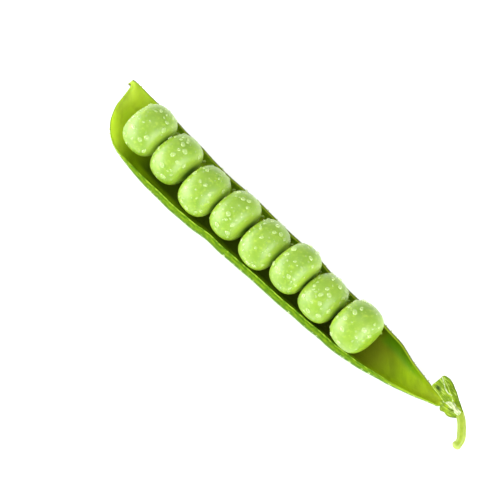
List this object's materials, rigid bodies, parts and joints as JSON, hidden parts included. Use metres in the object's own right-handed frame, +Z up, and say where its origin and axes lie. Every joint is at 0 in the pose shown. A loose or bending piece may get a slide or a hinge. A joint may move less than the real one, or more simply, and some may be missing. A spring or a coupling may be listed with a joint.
{
  "type": "opened pea pod",
  "caption": "Fresh garden pea pod opened along its seams: one boat-shaped half lying on its back, with its row of peas, calyx and curved cut stem.",
  "frame": {"origin": "the middle of the whole object's footprint, on the surface that the pod lies on", "axes": "+X runs along the pod from its beak to its stem, +Y points to the straight suture that carries the peas, +Z is up"},
  "size_m": [0.1012, 0.0174, 0.0125],
  "materials": {
    "pod_flesh": "waxy satin, fresh green pod wall",
    "pea_skin": "smooth taut seed skin with a soft shine",
    "seed_stalk": "pale moist plant tissue",
    "calyx_leaf": "matt, slightly wilted leaf",
    "dry_stamen": "dry and papery",
    "stem_green": "matt, fine lengthwise ribs",
    "water_drop": "clear beads of water on the skins, in the visual model only"
  },
  "bodies": {
    "root": {"pod_valve": "pod_flesh", "pea_1": "pea_skin", "pea_2": "pea_skin", "pea_3": "pea_skin", "pea_4": "pea_skin", "pea_5": "pea_skin", "pea_6": "pea_skin", "pea_7": "pea_skin", "pea_8": "pea_skin", "seed_stalk_1": "seed_stalk", "seed_stalk_2": "seed_stalk", "seed_stalk_3": "seed_stalk", "seed_stalk_4": "seed_stalk", "seed_stalk_5": "seed_stalk", "seed_stalk_6": "seed_stalk", "seed_stalk_7": "seed_stalk", "seed_stalk_8": "seed_stalk", "calyx_cup": "calyx_leaf", "upper_sepal_1": "calyx_leaf", "upper_sepal_2": "calyx_leaf", "side_sepal": "calyx_leaf", "lower_sepal_1": "calyx_leaf", "lower_sepal_2": "calyx_leaf", "stamen_sheath": "dry_stamen", "stamen_thread": "dry_stamen", "stem": "stem_green"}
  },
  "joints": []
}
